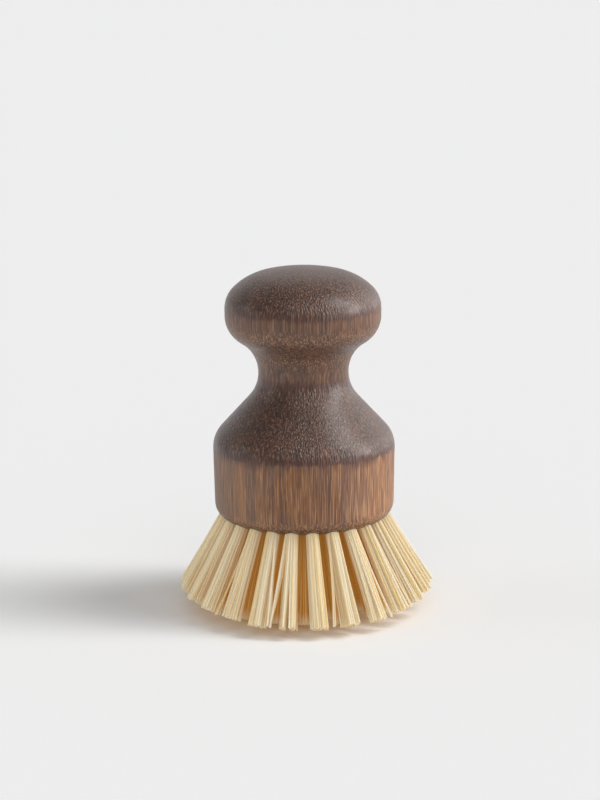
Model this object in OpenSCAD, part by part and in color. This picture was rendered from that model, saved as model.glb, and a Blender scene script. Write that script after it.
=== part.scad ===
// Palm brush: a turned bamboo handle, drilled underneath for five rows of
// splayed plant-fibre tufts, each folded round a steel anchor at the end of
// its hole. All sizes are in millimetres. The brush stands on its bristles
// at height 0, with the handle's axis on +Z.

/* [Base of the handle] */
// Diameter of the base at its shoulder
base_d = 49.6; // [47:0.1:58]
// Height of the base's side, from the underside to the shoulder
side_h = 19.6; // [15:0.1:30]
// How much narrower the side is at its foot, on the diameter
side_draft = 0.6; // [0:0.1:1.4]
// Radius of the rounded foot
foot_round = 4.5; // [2:0.1:6]
// Radius of the shoulder
shoulder_round = 8; // [4:0.1:12]

/* [Neck and knob] */
// Rise of the neck's narrowest place above the shoulder
neck_rise = 20.7; // [17:0.1:30]
// Diameter of the neck at its narrowest
neck_d = 24.5; // [20:0.1:30]
// Radius of the hollow of the neck
neck_round = 10.1; // [7:0.1:13]
// Diameter of the knob
knob_d = 42.4; // [37:0.1:48]
// Height of the straight band round the knob
knob_band_h = 1.9; // [0.5:0.1:6]
// Radius under the knob
knob_under_round = 8.2; // [6:0.1:10]
// Radius over the knob's edge
knob_edge_round = 7.6; // [5:0.1:9]
// Radius of the crown of the knob
crown_round = 50; // [40:1:65]
// Slope, in degrees, where the crown runs into the cheek
crown_slope = 12.5; // [8:0.5:14]
// Slope, in degrees, where the cheek runs into the knob's edge
cheek_slope = 44; // [38:1:52]

/* [Tufts] */
// Height of the handle's underside above the surface that it stands on
bristle_h = 25; // [18:0.5:32]
// From the outer row of holes, on the underside, to the base's widest edge
row_margin = 3.2; // [2.8:0.1:4.8]
// Height above the underside of the point that every tuft leans from
fan_h = 39; // [34:0.5:60]
// Tufts in the inner row, round the centre tuft
inner_tufts = 5; // [3:1:6]
// Tufts in the middle row
middle_tufts = 10; // [6:1:11]
// Tufts in the wide row
wide_tufts = 16; // [10:1:17]
// Tufts in the outer row
outer_tufts = 25; // [14:1:26]
// Angle of the first tuft in each row, from +X
first_turn = 1.9; // [0:0.1:7]
// Diameter of a tuft hole
hole_d = 3.6; // [3:0.1:3.9]
// Depth of a tuft hole along its own line
hole_depth = 7.5; // [6:0.1:9]
// Gap between a tuft and its hole, on the diameter
tuft_gap = 0.1; // [0.04:0.02:0.3]
// How far a tuft stays packed together outside its hole
packed_out = 1.2; // [0.8:0.1:3]

/* [Strands] */
// Strands round the middle strand of a tuft
ring_strands = 6; // [5:1:7]
// Width of a strand where it leaves the packed root
strand_w = 0.75; // [0.5:0.05:0.85]
// Width of a strand at its cut end, where its fibres have spread
strand_end_w = 1.15; // [0.8:0.05:1.25]
// Width of a whole tuft at its cut end
tuft_spread = 5.3; // [4.9:0.1:6.4]
// How much shorter the outer row's tufts are than the others
edge_trim = 1.2; // [0:0.1:3]
// Depth by which the tufts' ends are cut flat where the brush stands
rest_cut = 0.5; // [0.1:0.1:1]

/* [Anchors] */
// Thickness of an anchor plate
anchor_t = 0.4; // [0.2:0.05:0.6]
// Width of an anchor plate, along its hole
anchor_w = 1.6; // [1:0.1:2.2]
// How far an anchor bites into the wood on each side of its hole
anchor_bite = 0.3; // [0.1:0.05:0.4]
// Gap round an anchor plate in its slit
anchor_gap = 0.05; // [0.02:0.01:0.1]
// Thickness of the folded fibres between an anchor and its hole's end
fold_t = 0.9; // [0.5:0.1:1.5]

/* [Hidden] */
$fn = 96;
handle_color = [0.27, 0.17, 0.12];
fibre_color = [0.93, 0.87, 0.72];
anchor_color = [0.75, 0.76, 0.78];

// Handle outline. Its arcs' centres are [radius, height over the underside].
base_r = base_d / 2;
foot_r = base_r - side_draft / 2;
foot_c = [foot_r - foot_round, foot_round];
neck_c = [neck_d / 2 + neck_round, side_h + neck_rise];

// The shoulder's radius leaves a straight slope between it and the neck.
slope_share = 0.97;
neck_over = neck_c[0] - base_r;
shoulder_room = (neck_over ^ 2 + neck_rise ^ 2 - neck_round ^ 2) / (2 * (neck_round - neck_over));
shoulder_r = min(shoulder_round, slope_share * shoulder_room);
shoulder_c = [base_r - shoulder_r, side_h];

// The slope touches the neck's hollow on one side and the shoulder on the other.
run = neck_c - shoulder_c;
slope_normal = atan2(run[1], run[0]) - acos((neck_round + shoulder_r) / norm(run));

knob_r = knob_d / 2;
under_x = knob_r - knob_under_round;
under_reach = knob_under_round + neck_round;
under_c = [under_x, neck_c[1] + sqrt(under_reach ^ 2 - (neck_c[0] - under_x) ^ 2)];
neck_turn = atan2(under_c[1] - neck_c[1], under_c[0] - neck_c[0]);
edge_c = [knob_r - knob_edge_round, under_c[1] + knob_band_h];

// The cheek is the arc that meets both the crown and the knob's edge smoothly.
cheek_span = knob_r - crown_round * sin(crown_slope) - knob_edge_round * (1 - sin(cheek_slope));
cheek_round = cheek_span / (sin(cheek_slope) - sin(crown_slope));
cheek_c = edge_c - (cheek_round - knob_edge_round) * [sin(cheek_slope), cos(cheek_slope)];
crown_c = cheek_c - (crown_round - cheek_round) * [sin(crown_slope), cos(crown_slope)];
handle_h = crown_c[1] + crown_round;

// Rows of tufts, from the centre outwards. A tuft's length is taken along its line, from the underside.
row_names = ["centre", "inner", "middle", "wide", "outer"];
row_counts = [1, inner_tufts, middle_tufts, wide_tufts, outer_tufts];
last_row = len(row_counts) - 1;
function row_r(row) = (base_r - row_margin) * row / last_row;
function lean(row) = atan(row_r(row) / fan_h);
function turn(row, i) = first_turn + 360 * i / row_counts[row];
function tuft_length(row) = bristle_h + rest_cut - (row == last_row ? edge_trim : 0);
TUFTS = [for (row = [0:last_row], i = [0:row_counts[row] - 1]) [row, i]];
function two_digits(n) = str(n < 10 ? "0" : "", n);
function tuft_name(t) = t[0] == 0 ? "centre_tuft" : str(row_names[t[0]], "_tuft_", two_digits(t[1] + 1));

tuft_d = hole_d - tuft_gap;
anchor_l = hole_d + 2 * anchor_bite;

// A hole's cutter starts this far outside the underside.
clear = 4;

// How far the outline's straight facets may lie from its true arcs.
outline_tol = 0.01;

// A strand's middle line keeps this far from the middle of its tuft.
root_ring_r = (tuft_d - strand_w * sqrt(2)) / 2;
end_ring_r = (tuft_spread - strand_end_w * sqrt(2)) / 2;
root_sink = 0.8;
bend_share = 0.45;
bend_spread = 0.3;
strand_sides = 4;

echo(overall_height = bristle_h + handle_h, handle_height = handle_h, strands = len(TUFTS) * (ring_strands + 1));

// Points along an arc, close enough together to keep within outline_tol of it.
function arc(centre, r, a0, a1) =
    let (n = ceil(abs(a1 - a0) / (2 * acos(1 - outline_tol / r))))
    [for (k = [0:n]) centre + r * [cos(a0 + (a1 - a0) * k / n), sin(a0 + (a1 - a0) * k / n)]];

// Half of the handle's outline, to the right of its axis, from the foot up to the crown.
function handle_outline() = concat(
    [[0, 0]],
    arc(foot_c, foot_round, -90, 0),
    arc(shoulder_c, shoulder_r, 0, slope_normal),
    arc(neck_c, neck_round, slope_normal + 180, neck_turn),
    tail(arc(under_c, knob_under_round, neck_turn - 180, 0)),
    arc(edge_c, knob_edge_round, 0, 90 - cheek_slope),
    tail(arc(cheek_c, cheek_round, 90 - cheek_slope, 90 - crown_slope)),
    tail(arc(crown_c, crown_round, 90 - crown_slope, 90))
);

// All but a list's first point, which the arc before it ends on.
function tail(points) = [for (k = [1:len(points) - 1]) points[k]];

// Puts children on a tuft's line: height 0 is the underside, +Z runs up into the wood.
module on_tuft(t) {
    translate([0, 0, bristle_h])
        rotate([0, 0, turn(t[0], t[1])])
            translate([row_r(t[0]), 0, 0])
                rotate([0, -lean(t[0]), 0])
                    children();
}

// An anchor plate, or with a gap its slit. The plate sits on the fibres' fold.
module anchor_plate(gap) {
    wide = [anchor_t + 2 * gap, anchor_l + 2 * gap, anchor_w + gap];
    translate([-wide[0] / 2, -wide[1] / 2, hole_depth - fold_t - anchor_w - gap])
        cube(wide);
}

module handle() {
    color(handle_color)
        difference() {
            translate([0, 0, bristle_h])
                rotate_extrude() polygon(handle_outline());
            for (t = TUFTS)
                on_tuft(t) {
                    translate([0, 0, -clear])
                        cylinder(d = hole_d, h = hole_depth + clear);
                    anchor_plate(anchor_gap);
                }
        }
}

module anchors() {
    color(anchor_color)
        for (t = TUFTS)
            on_tuft(t) anchor_plate(0);
}

// Where the line from a to b ends: at b, or at height 0 where b lies lower.
function stop(a, b) =
    let (p = b[2] < 0 ? a + a[2] / (a[2] - b[2]) * (b - a) : b)
    [p[0], p[1], max(p[2], 0)];

// A point beside a tuft's line: a outwards, b round the row, w along it and down.
function beside(t, a, b, w) =
    let (
        round_a = turn(t[0], t[1]),
        out = [cos(round_a), sin(round_a), 0],
        tilt = lean(t[0])
    )
    [0, 0, bristle_h] + row_r(t[0]) * out
    + a * (cos(tilt) * out + [0, 0, sin(tilt)])
    + b * [-sin(round_a), cos(round_a), 0]
    + w * (sin(tilt) * out - [0, 0, cos(tilt)]);

// The corners of a strand's section, w down a tuft's line.
function section(t, ring_r, a, width, w) = [
    for (k = [0:strand_sides - 1])
        let (
            corner = a + 360 * (k + 0.5) / strand_sides,
            half = width / sqrt(2)
        )
        beside(t, ring_r * cos(a) + half * cos(corner), ring_r * sin(a) + half * sin(corner), w)
];

// One strand, from inside the packed root, bending outwards, to its end, cut square or by the ground.
module strand(t, ring, a) {
    length = tuft_length(t[0]);
    bend_ring_r = root_ring_r + bend_spread * (end_ring_r - root_ring_r);
    bend_w = strand_w + bend_spread * (strand_end_w - strand_w);
    root = section(t, ring * root_ring_r, a, strand_w, packed_out - root_sink);
    bend = section(t, ring * bend_ring_r, a, bend_w, bend_share * length);
    aim = section(t, ring * end_ring_r, a, strand_end_w, length);
    end = [for (k = [0:strand_sides - 1]) stop(bend[k], aim[k])];
    n = strand_sides;
    sides = [
        for (level = [0:1], k = [0:n - 1])
            let (p = level * n + k, q = level * n + (k + 1) % n)
            each [[p, q, q + n], [p, q + n, p + n]]
    ];
    caps = [for (k = [1:n - 2]) each [[0, k + 1, k], [2 * n, 2 * n + k, 2 * n + k + 1]]];
    polyhedron(concat(root, bend, end), concat(sides, caps));
}

// A tuft: the packed fibres that fill its hole, with the anchor's slit, and its strands.
module tuft(t) {
    color(fibre_color) {
        on_tuft(t)
            difference() {
                translate([0, 0, -packed_out])
                    cylinder(d = tuft_d, h = hole_depth + packed_out);
                anchor_plate(anchor_gap);
            }
        strand(t, 0, 0);
        for (k = [0:ring_strands - 1])
            strand(t, 1, 360 * k / ring_strands);
    }
}

handle();
anchors();
for (t = TUFTS)
    tuft(t);
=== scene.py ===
"""Palm brush on a pale floor: a turned handle of dark bamboo with rings of plant-fibre tufts under it.

The handle, its tuft holes and the anchors come from the frame. Each tuft is rebuilt here fibre by fibre.
Lengths are in metres. Materials work in millimetres, and so do values whose name ends in _MM.
"""

import math
import random

import bpy
from mathutils import Matrix, Vector


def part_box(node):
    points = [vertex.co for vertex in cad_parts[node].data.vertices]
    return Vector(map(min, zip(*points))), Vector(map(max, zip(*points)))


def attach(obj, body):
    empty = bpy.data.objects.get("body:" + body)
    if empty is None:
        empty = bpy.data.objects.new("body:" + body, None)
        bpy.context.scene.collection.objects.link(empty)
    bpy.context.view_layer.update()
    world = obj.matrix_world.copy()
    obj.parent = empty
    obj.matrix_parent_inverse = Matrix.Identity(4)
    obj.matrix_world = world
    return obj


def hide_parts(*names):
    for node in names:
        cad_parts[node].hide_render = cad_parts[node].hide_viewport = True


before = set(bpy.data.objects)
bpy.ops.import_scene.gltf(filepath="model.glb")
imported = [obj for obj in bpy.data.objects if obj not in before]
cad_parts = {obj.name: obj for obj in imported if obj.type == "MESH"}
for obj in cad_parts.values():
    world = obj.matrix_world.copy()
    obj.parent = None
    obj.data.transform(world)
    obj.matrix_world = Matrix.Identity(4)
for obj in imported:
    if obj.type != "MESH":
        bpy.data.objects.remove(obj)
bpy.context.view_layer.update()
scene = bpy.context.scene
bpy.ops.object.select_all(action="DESELECT")

MM = 0.001
UNDERSIDE_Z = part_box("handle")[0][2]

# Rows of tuft holes, from the centre outwards: name and number of tufts. The rows are evenly spaced.
TUFT_ROWS = [("centre", 1), ("inner", 5), ("middle", 10), ("wide", 16), ("outer", 25)]
OUTER_ROW_R = 21.6 * MM
FIRST_TURN = math.radians(1.9)
# All tufts lean away from one point, this far above the underside.
FAN_HEIGHT = 39 * MM


# Shader maths

class Socket:
    """A node's output that takes Python's operators."""

    def __init__(self, shading, link):
        self.shading = shading
        self.link = link

    def maths(self, operation, other):
        return self.shading.node("ShaderNodeMath", {"operation": operation}, **{"0": self, "1": other})

    def __add__(self, other):
        return self.maths("ADD", other)

    def __radd__(self, other):
        return self.maths("ADD", other)

    def __sub__(self, other):
        return self.maths("SUBTRACT", other)

    def __rsub__(self, other):
        return self.shading.node("ShaderNodeMath", {"operation": "SUBTRACT"}, **{"0": other, "1": self})

    def __mul__(self, other):
        return self.maths("MULTIPLY", other)

    def __rmul__(self, other):
        return self.maths("MULTIPLY", other)

    def __truediv__(self, other):
        return self.maths("DIVIDE", other)

    def step(self, low, high):
        """0 below low, 1 above high, smooth between."""
        return self.shading.node(
            "ShaderNodeMapRange", {"interpolation_type": "SMOOTHSTEP"},
            **{"Value": self, "From Min": low, "From Max": high},
        )

    def part(self, name):
        """One of a vector's three numbers."""
        return self.shading.node("ShaderNodeSeparateXYZ", None, out=name, **{"0": self})

    def scaled(self, x, y, z):
        """A vector with its three numbers each multiplied."""
        return self.shading.node(
            "ShaderNodeVectorMath", {"operation": "MULTIPLY"}, **{"0": self, "1": (x, y, z)}
        )


class Shading:
    """The node tree of a material or of the world, from its first node to its output."""

    def __init__(self, owner, end):
        owner.use_nodes = True
        self.owner = owner
        self.tree = owner.node_tree
        self.tree.nodes.clear()
        self.end = self.tree.nodes.new(end)

    def finish(self, shader):
        """The owner, with this shader as its surface."""
        self.tree.links.new(shader.link, self.end.inputs["Surface"])
        return self.owner

    def node(self, kind, settings=None, out=0, **values):
        """A new node's output, by number or name. Keys that are numbers name an input by its place."""
        node = self.tree.nodes.new(kind)
        for key, value in (settings or {}).items():
            if key == "stops":
                self.set_stops(node.color_ramp, value)
            else:
                setattr(node, key, value)
        for key, value in values.items():
            self.feed(node, key, value)
        return Socket(self, node.outputs[out])

    def feed(self, node, key, value):
        socket = node.inputs[int(key)] if key.isdigit() else node.inputs[key]
        if isinstance(value, Socket):
            self.tree.links.new(value.link, socket)
        elif isinstance(value, tuple) and len(value) == 3 and socket.type == "RGBA":
            socket.default_value = value + (1.0,)
        else:
            socket.default_value = value

    def set_stops(self, ramp, stops):
        while len(ramp.elements) < len(stops):
            ramp.elements.new(1.0)
        for element, (place, colour) in zip(ramp.elements, stops):
            element.position = place
            element.color = tuple(colour) + (1.0,)

    def blend_shaders(self, factor, first, second):
        return self.node("ShaderNodeMixShader", None, **{"0": factor, "1": first, "2": second})

    def mix(self, factor, first, second):
        """Two colours, the second over the first by factor."""
        return self.node(
            "ShaderNodeMix", {"data_type": "RGBA"}, out=2, **{"0": factor, "6": first, "7": second}
        )

    def object_mm(self):
        """The place on the piece, in millimetres."""
        place = self.node("ShaderNodeTexCoord", out="Object")
        return place.scaled(1000.0, 1000.0, 1000.0)

    def noise(self, place, scale, detail=2.0, roughness=0.5, out="Fac"):
        return self.node(
            "ShaderNodeTexNoise", {"noise_dimensions": "3D"}, out=out,
            **{"Vector": place, "Scale": scale, "Detail": detail, "Roughness": roughness},
        )

    def cells(self, place, scale, out="Distance"):
        return self.node(
            "ShaderNodeTexVoronoi", {"voronoi_dimensions": "3D"}, out=out,
            **{"Vector": place, "Scale": scale},
        )

    def bump(self, height, distance, strength=1.0):
        return self.node(
            "ShaderNodeBump", None,
            **{"Height": height, "Distance": distance, "Strength": strength},
        )

    def principled(self, **values):
        return self.node("ShaderNodeBsdfPrincipled", None, **values)


def new_material(name):
    return Shading(bpy.data.materials.new(name), "ShaderNodeOutputMaterial")


def srgb(red, green, blue):
    """A colour written as 0 to 255 on screen, as the shader's linear values."""
    def linear(v):
        v /= 255.0
        return v / 12.92 if v <= 0.04045 else ((v + 0.055) / 1.055) ** 2.4
    return (linear(red), linear(green), linear(blue))


# Materials

# Half of the light that meets a fibre passes through it.
THROUGH_SHARE = 0.5
# Painted light: the fibres emit this much as a glow, for light that has passed through many fibres, beyond
# the few that a render follows it through.
INNER_GLOW = 0.14


def dark_bamboo():
    """Heat-treated bamboo. Its fibres run up the handle: walls show streaks, and slopes show cut ends."""
    m = new_material("dark_bamboo")
    place = m.object_mm()
    waver = m.noise(place.scaled(0.12, 0.12, 0.03), 1.0, 2.0, out="Color")
    bent = m.node(
        "ShaderNodeVectorMath", {"operation": "MULTIPLY_ADD"},
        **{"0": waver, "1": (0.4, 0.4, 0.0), "2": place},
    )
    along = bent.scaled(1.0, 1.0, 0.012)

    strips = m.cells(bent.scaled(0.45, 0.45, 0.0015), 1.0, out="Color").part("X")
    drift = m.noise(along, 0.45, 3.0, 0.6)
    lines = m.noise(along, 2.7, 3.0, 0.75)
    threads = m.noise(along.scaled(1.0, 1.0, 1.8), 4.0, 2.0, 0.6)
    vessels = m.cells(bent.scaled(1.0, 1.0, 0.03), 2.3)
    dashes = m.noise(along.scaled(1.0, 1.0, 9.0), 2.4, 2.0, 0.6)
    grains = m.noise(bent.scaled(1.0, 1.0, 0.06), 2.3, 2.0, 0.6)
    cloud = m.noise(place.scaled(1.0, 1.0, 0.6), 0.16, 3.0, 0.55)

    # Where the surface slopes, the fibres' cut ends show. Handling has dulled the waist and the knob too.
    upward = m.node("ShaderNodeNewGeometry", None, out="Normal").part("Z")
    rising = upward + (cloud - 0.5) * 0.07
    flat = place.scaled(1.0, 1.0, 0.0)
    r = m.node("ShaderNodeVectorMath", {"operation": "LENGTH"}, out="Value", **{"0": flat})
    dulled = ((1.0 - r.step(13.0, 19.5)) * 0.62).maths("MAXIMUM", place.part("Z").step(64.0, 74.0) * 0.42)
    hanging = (upward * -1.0).step(0.3, 0.75) * 0.85
    ends = rising.step(-0.02, 0.11).maths("MAXIMUM", hanging).maths("MAXIMUM", dulled)

    wall = m.node(
        "ShaderNodeValToRGB",
        {"stops": [
            (0.32, srgb(86, 58, 49)),
            (0.45, srgb(108, 74, 58)),
            (0.55, srgb(126, 85, 57)),
            (0.67, srgb(164, 108, 61)),
        ]},
        Fac=strips * 0.2 + drift * 0.3 + lines * 0.5,
    )
    wall = m.mix(threads.step(0.5, 0.62) * 0.65, wall, srgb(190, 145, 104))
    wall = m.mix(lines.step(0.47, 0.35) * 0.6, wall, srgb(78, 52, 47))
    wall = m.mix(dashes.step(0.56, 0.72) * 0.35, wall, srgb(66, 43, 36))
    wall = m.mix(cloud.step(0.52, 0.38) * 0.35, wall, srgb(104, 82, 74))
    # Painted light: the wall is lighter and more orange towards +X, the side that the window lights.
    painted_light_right = m.mix(threads.step(0.42, 0.6), srgb(150, 98, 68), srgb(226, 172, 124))
    wall = m.mix(place.part("X").step(5.0, 19.0) * 0.34, wall, painted_light_right)
    # Painted sheen: the wall is lighter and greyer towards -X, where its left edge catches a grey sheen.
    wall = m.mix(place.part("X").step(-6.0, -17.0) * 0.24, wall, srgb(168, 140, 118))
    # The upper neck under the knob turns duller and browner, with lighter threads.
    neck_tone = m.mix(threads.step(0.48, 0.62), srgb(94, 66, 53), srgb(160, 120, 92))
    wall = m.mix(place.part("Z").step(64.0, 72.0) * 0.62, wall, neck_tone)

    slope = m.node(
        "ShaderNodeValToRGB",
        {"stops": [
            (0.3, srgb(58, 34, 24)),
            (0.5, srgb(80, 48, 34)),
            (0.72, srgb(106, 65, 43)),
        ]},
        Fac=cloud * 0.6 + drift * 0.4,
    )
    slope = m.mix(vessels.step(0.36, 0.08) * 0.5, slope, srgb(42, 28, 23))
    slope = m.mix(grains.step(0.47, 0.38) * 0.75, slope, srgb(42, 27, 21))
    slope = m.mix(grains.step(0.53, 0.63) * 0.6, slope, srgb(148, 112, 88))

    # A thin reddish line of scorched wood marks where the wall's long grain gives way to the slope.
    scorch = rising.step(0.0, 0.08) * (1.0 - rising.step(0.14, 0.36))
    colour = m.mix(ends, wall, slope)
    colour = m.mix(scorch * 0.55, colour, srgb(84, 44, 30))
    undercut = (upward * -1.0).step(0.12, 0.5)
    colour = m.mix(vessels.step(0.4, 0.2) * undercut * 0.7, colour, srgb(192, 150, 116))

    grain_height = lines * 0.5 + threads * 0.5
    pebble_height = vessels * 0.9 + grains * 1.1
    height = grain_height * (1.0 - ends) * 0.25 + pebble_height * ends
    normal = m.bump(height, 0.3 * MM, 1.0)
    rough = 0.5 - ends * 0.11 + threads * 0.08
    wood = m.principled(
        **{
            "Base Color": colour, "Roughness": rough, "Normal": normal,
            "IOR": 1.48, "Specular IOR Level": 0.5,
            "Coat Weight": ends * 0.5 + 0.05, "Coat Roughness": 0.33,
        }
    )
    return m.finish(wood)


def plant_fibre():
    """Stiff undyed fibre that lets light through. Deep in the brush it is painted golden, in its colour and
    in the light that passes through it: painted light for the glow of light passed through many fibres.

    Its fibre attribute holds a tone, the share of the way to the tip, and a second tone.
    """
    m = new_material("plant_fibre")
    marks = m.node("ShaderNodeAttribute", {"attribute_name": "fibre"}, out="Vector")
    tone = marks.part("X")
    reach = marks.part("Y")
    tint = marks.part("Z")
    place = m.object_mm()
    mottle = m.noise(place, 0.9, 3.0, 0.6)

    # The fan's slope at this place: steepest on the outside of the outer row.
    flat = place.scaled(1.0, 1.0, 0.0)
    r = m.node("ShaderNodeVectorMath", {"operation": "LENGTH"}, out="Value", **{"0": flat})
    slope = r / ((UNDERSIDE_Z + FAN_HEIGHT) / MM - place.part("Z"))
    deep = (1.0 - slope.step(0.46, 0.6)) * (1.0 - reach.step(0.88, 1.0) * 0.7)

    colour = m.node(
        "ShaderNodeValToRGB",
        {"stops": [
            (0.0, srgb(242, 222, 178)),
            (0.35, srgb(247, 238, 210)),
            (0.7, srgb(250, 243, 226)),
            (1.0, srgb(252, 248, 238)),
        ]},
        Fac=tone,
    )
    colour = m.mix(tint.step(0.76, 0.88) * 0.7, colour, srgb(240, 208, 116))
    colour = m.mix(mottle.step(0.45, 0.75) * 0.2, colour, srgb(240, 210, 150))
    # Painted shade: towards their roots, under the handle, the fibres turn a darker gold.
    colour = m.mix((1.0 - reach.step(0.0, 0.3)) * 0.25, colour, srgb(238, 200, 132))
    # Painted light: fibres deep in the fan are coloured gold, darker gold towards their roots, for the glow
    # of light passed through many fibres.
    painted_glow = m.mix(tint.step(0.2, 0.8), srgb(218, 162, 88), srgb(255, 236, 180))
    painted_glow = m.mix((1.0 - reach.step(0.05, 0.6)) * 0.4, painted_glow, srgb(214, 158, 96))
    colour = m.mix(deep, colour, painted_glow)
    # Painted light: the colour of the fibres' emitted glow, bluish white on the outside of the fan and golden
    # deep in it.
    glow_colour = m.mix(deep, (0.8, 0.95, 1.0), (0.74, 0.57, 0.12))
    solid = m.principled(
        **{
            "Base Color": colour, "Roughness": 0.42 + mottle * 0.15,
            "IOR": 1.5, "Specular IOR Level": 0.4,
            "Emission Color": glow_colour, "Emission Strength": INNER_GLOW,
        }
    )
    glow = m.node("ShaderNodeBsdfTranslucent", None, Color=srgb(245, 232, 196))
    # Painted light: deep in the fan the light through the fibres is tinted gold as well.
    inner_glow = m.node("ShaderNodeBsdfTranslucent", None, Color=srgb(238, 200, 132))
    through = m.blend_shaders(deep, glow, inner_glow)
    return m.finish(m.blend_shaders(THROUGH_SHARE, solid, through))


def anchor_steel():
    """Cut steel strip with fine drawn lines along it."""
    m = new_material("anchor_steel")
    place = m.object_mm()
    lines = m.noise(place.scaled(1.0, 14.0, 14.0), 1.0, 3.0, 0.6)
    colour = m.mix(lines, srgb(170, 172, 176), srgb(206, 208, 212))
    steel = m.principled(**{"Base Color": colour, "Metallic": 1.0, "Roughness": 0.28 + lines * 0.2})
    return m.finish(steel)


def floor_paper():
    """Pale seamless paper: soft and matt, with the faintest tooth."""
    m = new_material("floor_paper")
    tooth = m.noise(m.object_mm(), 0.6, 2.0)
    paper = m.principled(
        **{"Base Color": (FLOOR_TONE,) * 3, "Roughness": 0.95 + tooth * 0.02, "Specular IOR Level": 0.0}
    )
    return m.finish(paper)


# Bristles

FIBRES_PER_TUFT = 62
FIBRE_R = 0.23 * MM
FIBRE_SIDES = 6
FIBRE_CUTS = (0.0, 0.22, 0.5, 0.78, 1.0)
HOLE_FILL_R = 1.62 * MM
# Radius of a tuft at its end, by row. The inner rows have more room to spread.
TUFT_END_R = (2.6 * MM, 2.8 * MM, 3.0 * MM, 3.1 * MM, 2.4 * MM)
ROOT_DEPTH = 1.6 * MM
TUFT_LENGTH = 25.5 * MM
# The outer row's tufts are shorter, most of all at the brush's two sides.
EDGE_TRIM = 1.2 * MM
EDGE_OVAL = 1.2 * MM
# The brush's weight pushes every bristle's end a little to one side.
LEAN_OVER = 0.5 * MM
# From this share of the tufts a thin bundle strays: the fibres past this part of the radius, on one side.
STRAY_SHARE = 0.35
STRAY_EDGE = 0.62
# Each tuft parts in this many places.
PARTINGS = 2
# Scatter from tuft to tuft in length, and from fibre to fibre in place, cut end and bend.
LENGTH_SCATTER_MM = 0.25
END_SCATTER = 0.12 * MM
CUT_SCATTER_MM = 0.22
BEND_SCATTER_MM = 0.12
GOLDEN_TURN = math.pi * (3 - math.sqrt(5))


def model_fibre():
    """One straight fibre of radius 1 and height 1, with edges round it at each cut: its corners and faces."""
    bpy.ops.mesh.primitive_cylinder_add(
        vertices=FIBRE_SIDES, radius=1, depth=1, end_fill_type="NGON", location=(0, 0, 0.5)
    )
    fibre = bpy.context.object
    bpy.ops.object.transform_apply(location=True)
    bpy.ops.object.mode_set(mode="EDIT")
    for cut in FIBRE_CUTS[1:-1]:
        bpy.ops.mesh.select_all(action="SELECT")
        bpy.ops.mesh.bisect(plane_co=(0, 0, cut), plane_no=(0, 0, 1))
    bpy.ops.object.mode_set(mode="OBJECT")
    corners = [tuple(v.co) for v in fibre.data.vertices]
    faces = [tuple(p.vertices) for p in fibre.data.polygons]
    bpy.data.objects.remove(fibre)
    return corners, faces


def tuft_length(row, turn):
    """Length of a tuft along its own line, from the underside to its cut end."""
    outer = row == len(TUFT_ROWS) - 1
    return TUFT_LENGTH - (EDGE_TRIM + EDGE_OVAL * math.cos(2 * turn) if outer else 0.0)


def tuft_frame(row, turn):
    """A tuft's start on the underside, and its directions outwards, round the row and down its own line."""
    row_r = OUTER_ROW_R * row / (len(TUFT_ROWS) - 1)
    lean = math.atan2(row_r, FAN_HEIGHT)
    level = Vector((math.cos(turn), math.sin(turn), 0.0))
    up = Vector((0.0, 0.0, 1.0))
    start = level * row_r + up * UNDERSIDE_Z
    out = level * math.cos(lean) + up * math.sin(lean)
    beside = Vector((-math.sin(turn), math.cos(turn), 0.0))
    down = level * math.sin(lean) - up * math.cos(lean)
    return start, out, beside, down


def tuft_fibres(row, turn, rng):
    """The bent middle line of every fibre in a tuft, with its radius and two tones."""
    start, out, beside, down = tuft_frame(row, turn)
    length = tuft_length(row, turn) + rng.uniform(-LENGTH_SCATTER_MM, LENGTH_SCATTER_MM) * MM
    start_turn = rng.uniform(0, math.tau)
    # Each parting splits the bundle: its direction, its place across the bundle and its width in millimetres.
    partings = [
        (rng.uniform(0, math.tau), rng.uniform(-0.55, 0.55), rng.uniform(0.25, 0.75))
        for _ in range(PARTINGS)
    ]
    stray_w = rng.uniform(1.6, 3.0) * rng.choice((-1, 1)) * MM if rng.random() < STRAY_SHARE else 0.0
    fibres = []
    for i in range(FIBRES_PER_TUFT):
        angle = start_turn + i * GOLDEN_TURN + rng.uniform(-0.2, 0.2)
        share = math.sqrt((i + 0.5) / FIBRES_PER_TUFT)
        a, b = share * math.cos(angle), share * math.sin(angle)
        end_a = a * TUFT_END_R[row] + rng.gauss(0, END_SCATTER)
        end_b = b * TUFT_END_R[row] + rng.gauss(0, END_SCATTER)
        for parting_turn, parting_place, parting_w in partings:
            side = a * math.cos(parting_turn) + b * math.sin(parting_turn) - parting_place
            push = math.copysign(parting_w, side) * math.exp(-abs(side) * 3.0) * MM
            end_a += push * math.cos(parting_turn)
            end_b += push * math.sin(parting_turn)
        if a > 0.2 and b * stray_w > abs(stray_w) * STRAY_EDGE:
            end_b += stray_w
        root = start + (out * a + beside * b) * HOLE_FILL_R - down * ROOT_DEPTH
        cut = length - abs(rng.gauss(0, CUT_SCATTER_MM)) * MM
        end = start + out * end_a + beside * end_b + down * cut
        end.x += LEAN_OVER
        if end.z < 0.0:
            end = root + (end - root) * (root.z / (root.z - end.z))
        bow = (out * rng.gauss(0, BEND_SCATTER_MM) + beside * rng.gauss(0, BEND_SCATTER_MM)) * MM
        packed = (out * (end_a - a * HOLE_FILL_R) + beside * (end_b - b * HOLE_FILL_R)) * 0.12
        line = [root.lerp(end, t) + (bow - packed) * math.sin(math.pi * t) for t in FIBRE_CUTS]
        tone = min(max(rng.gauss(0.6, 0.26), 0.0), 1.0)
        fibres.append((line, FIBRE_R * rng.uniform(0.75, 1.15), tone, rng.random()))
    return fibres


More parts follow.
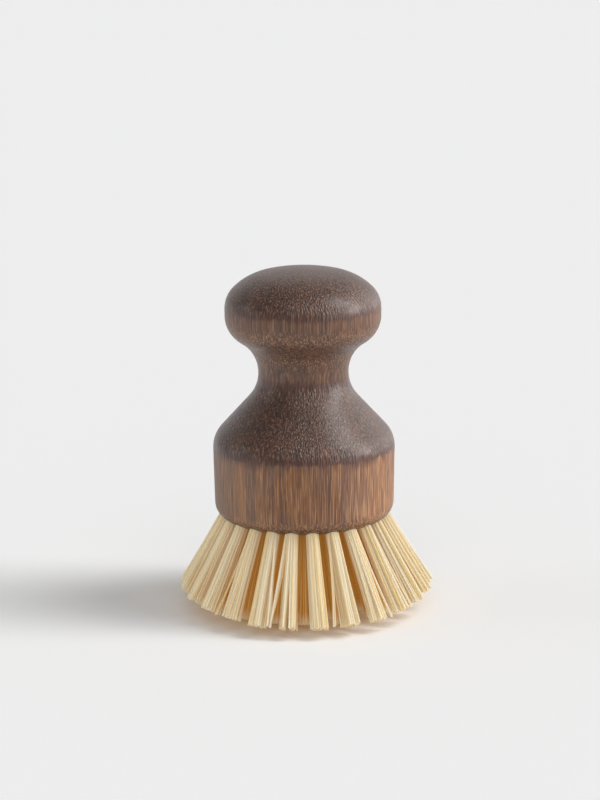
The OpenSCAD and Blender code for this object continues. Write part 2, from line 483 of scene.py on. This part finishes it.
def make_tuft(name, row, turn, corners, faces, material, rng):
    """A tuft as one mesh: the modelled fibre repeated, each copy bent along its own line."""
    points, quads, marks = [], [], []
    for line, radius, tone, tint in tuft_fibres(row, turn, rng):
        first = len(points)
        axis = (line[-1] - line[0]).normalized()
        side = axis.orthogonal().normalized()
        other = axis.cross(side)
        twist = rng.uniform(0, math.tau)
        cos_t, sin_t = math.cos(twist), math.sin(twist)
        for x, y, z in corners:
            level = min(range(len(FIBRE_CUTS)), key=lambda k: abs(FIBRE_CUTS[k] - z))
            u, v = x * cos_t - y * sin_t, x * sin_t + y * cos_t
            p = line[level] + (side * u + other * v) * radius
            p.z = max(p.z, 0.0)
            points.append(p)
            marks.append((tone, z, tint, 1.0))
        quads += [tuple(first + k for k in face) for face in faces]
    mesh = bpy.data.meshes.new(name)
    mesh.from_pydata(points, [], quads)
    layer = mesh.attributes.new("fibre", "FLOAT_COLOR", "POINT")
    layer.data.foreach_set("color", [v for mark in marks for v in mark])
    mesh.materials.append(material)
    tuft = bpy.data.objects.new(name, mesh)
    scene.collection.objects.link(tuft)
    bpy.ops.object.select_all(action="DESELECT")
    tuft.select_set(True)
    bpy.context.view_layer.objects.active = tuft
    bpy.ops.object.shade_smooth_by_angle(angle=math.radians(75))
    return tuft


def node_name(row, index):
    name = TUFT_ROWS[row][0]
    return "centre_tuft" if row == 0 else f"{name}_tuft_{index + 1:02d}"


def make_bristles():
    corners, faces = model_fibre()
    material = plant_fibre()
    for row, (_, count) in enumerate(TUFT_ROWS):
        for index in range(count):
            node = node_name(row, index)
            rng = random.Random(1000 * row + index)
            turn = FIRST_TURN + math.tau * index / count
            tuft = make_tuft(f"{node}_fibres", row, turn, corners, faces, material, rng)
            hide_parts(node)
            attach(tuft, "root")


# Handle and anchors

def make_handle():
    """The turned handle with its holes: the frame's own surface, merged so that it shades smoothly."""
    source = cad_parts["handle"]
    mesh = source.data.copy()
    mesh.name = "handle_turned"
    handle = bpy.data.objects.new("handle_turned", mesh)
    scene.collection.objects.link(handle)
    bpy.ops.object.select_all(action="DESELECT")
    handle.select_set(True)
    bpy.context.view_layer.objects.active = handle
    bpy.ops.object.mode_set(mode="EDIT")
    bpy.ops.mesh.select_all(action="SELECT")
    bpy.ops.mesh.remove_doubles(threshold=0.002 * MM)
    bpy.ops.object.mode_set(mode="OBJECT")
    bpy.ops.object.shade_smooth_by_angle(angle=math.radians(32))
    mesh.materials.clear()
    mesh.materials.append(dark_bamboo())
    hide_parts("handle")
    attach(handle, "root")


def dress_anchors():
    """The steel plates in the holes keep their frame meshes."""
    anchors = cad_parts["anchors"]
    anchors.data.materials.clear()
    anchors.data.materials.append(anchor_steel())


# Floor, light and camera

FLOOR_TONE = 0.97
BACKDROP_TONE = 0.862
ROOM_LIGHT = 0.4
# What reflections show: the room's darker share, the window, and where it and the backdrop fade in and out.
DARK_SHARE = 0.15
WINDOW_REFLECTION = 1.9
WINDOW_EDGE = (0.4, 0.75)
BACKDROP_EDGE = (0.3, 0.8)
# Name, turn round the brush from its right, height, strength and softness. The window is tall and narrow.
SUNS = [
    ("window_low", -4, 16, 0.9, 22),
    ("window_middle", -4, 36, 0.72, 26),
    ("window_high", -5, 56, 0.82, 24),
    ("left", 178, 16, 0.35, 40),
    ("front", -86, 44, 0.45, 56),
]
FLOOR_HALF = 12.0
CAMERA_TILT = math.radians(13.5)
CAMERA_DISTANCE = 0.7
PIXELS_PER_MM = 3.665
FRAME_PIXELS = 800
SENSOR_MM = 36.0
# The brush's own axis at this height is in the picture at these pixels, counted from the picture's middle.
AIM_Z = 48.44 * MM
AIM_RIGHT_PIXELS = 3.6
AIM_DOWN_PIXELS = 31.8
CAMERA_ROLL = math.radians(0.45)


def make_floor():
    """Seamless paper under the brush, too wide for its edges to be seen."""
    bpy.ops.mesh.primitive_plane_add(size=2 * FLOOR_HALF, location=(0, 0, 0))
    floor = bpy.context.object
    floor.name = "floor"
    floor.data.materials.append(floor_paper())


def make_sun(name, turn, height, strength, softness):
    """A sun that shines from turn degrees round from +X and height degrees up."""
    light = bpy.data.lights.new(name, "SUN")
    light.energy = strength
    light.angle = math.radians(softness)
    lamp = bpy.data.objects.new(name, light)
    scene.collection.objects.link(lamp)
    turn, height = math.radians(turn), math.radians(height)
    towards = Vector((math.cos(turn) * math.cos(height), math.sin(turn) * math.cos(height), math.sin(height)))
    lamp.rotation_euler = towards.to_track_quat("Z", "Y").to_euler()
    return lamp


def make_world():
    """An even room. Reflections show the pale backdrop behind the brush, the window and a darker room."""
    scene.world = bpy.data.worlds.new("studio")
    w = Shading(scene.world, "ShaderNodeOutputWorld")
    direction = w.node("ShaderNodeTexCoord", None, out="Generated")
    behind = w.node(
        "ShaderNodeMapRange", None,
        **{
            "Value": direction.part("Y"), "From Min": BACKDROP_EDGE[0], "From Max": BACKDROP_EDGE[1],
            "To Min": ROOM_LIGHT * DARK_SHARE, "To Max": BACKDROP_TONE,
        }
    )
    right = w.node(
        "ShaderNodeMapRange", None,
        **{
            "Value": direction.part("X"), "From Min": WINDOW_EDGE[0], "From Max": WINDOW_EDGE[1],
            "To Max": WINDOW_REFLECTION,
        }
    )
    reflected = w.node("ShaderNodeBackground", None, Strength=behind + right)
    room = w.node("ShaderNodeBackground", None, Strength=ROOM_LIGHT)
    backdrop = w.node("ShaderNodeBackground", None, Color=(BACKDROP_TONE,) * 3)

    camera_ray = w.node("ShaderNodeLightPath", None, out="Is Camera Ray")
    glossy_ray = w.node("ShaderNodeLightPath", None, out="Is Glossy Ray")
    clear_ray = w.node("ShaderNodeLightPath", None, out="Is Transmission Ray")
    lit = w.blend_shaders(glossy_ray, room, reflected)
    w.finish(w.blend_shaders(camera_ray.maths("MAXIMUM", clear_ray), lit, backdrop))


def make_camera():
    """A camera a little above the brush, in front of it and turned a touch, for an upright picture."""
    data = bpy.data.cameras.new("camera")
    data.sensor_width = SENSOR_MM
    data.sensor_fit = "VERTICAL"
    data.sensor_height = SENSOR_MM
    focal_pixels = PIXELS_PER_MM * CAMERA_DISTANCE / MM
    data.lens = SENSOR_MM * focal_pixels / FRAME_PIXELS
    data.clip_end = 100
    camera = bpy.data.objects.new("camera", data)
    scene.collection.objects.link(camera)
    aim = Vector((0, 0, AIM_Z))
    back = Vector((0, -math.cos(CAMERA_TILT), math.sin(CAMERA_TILT)))
    place = aim + back * CAMERA_DISTANCE
    facing = back.to_track_quat("Z", "Y").to_matrix()
    turn_up = Matrix.Rotation(math.atan(AIM_DOWN_PIXELS / focal_pixels), 3, "X")
    turn_left = Matrix.Rotation(math.atan(AIM_RIGHT_PIXELS / focal_pixels), 3, "Y")
    roll = Matrix.Rotation(-CAMERA_ROLL, 3, "Z")
    camera.matrix_world = Matrix.Translation(place) @ (facing @ turn_up @ turn_left @ roll).to_4x4()
    scene.camera = camera


make_handle()
dress_anchors()
make_bristles()
make_floor()
for sun in SUNS:
    make_sun(*sun)
make_world()
make_camera()
scene.view_settings.view_transform = "Standard"
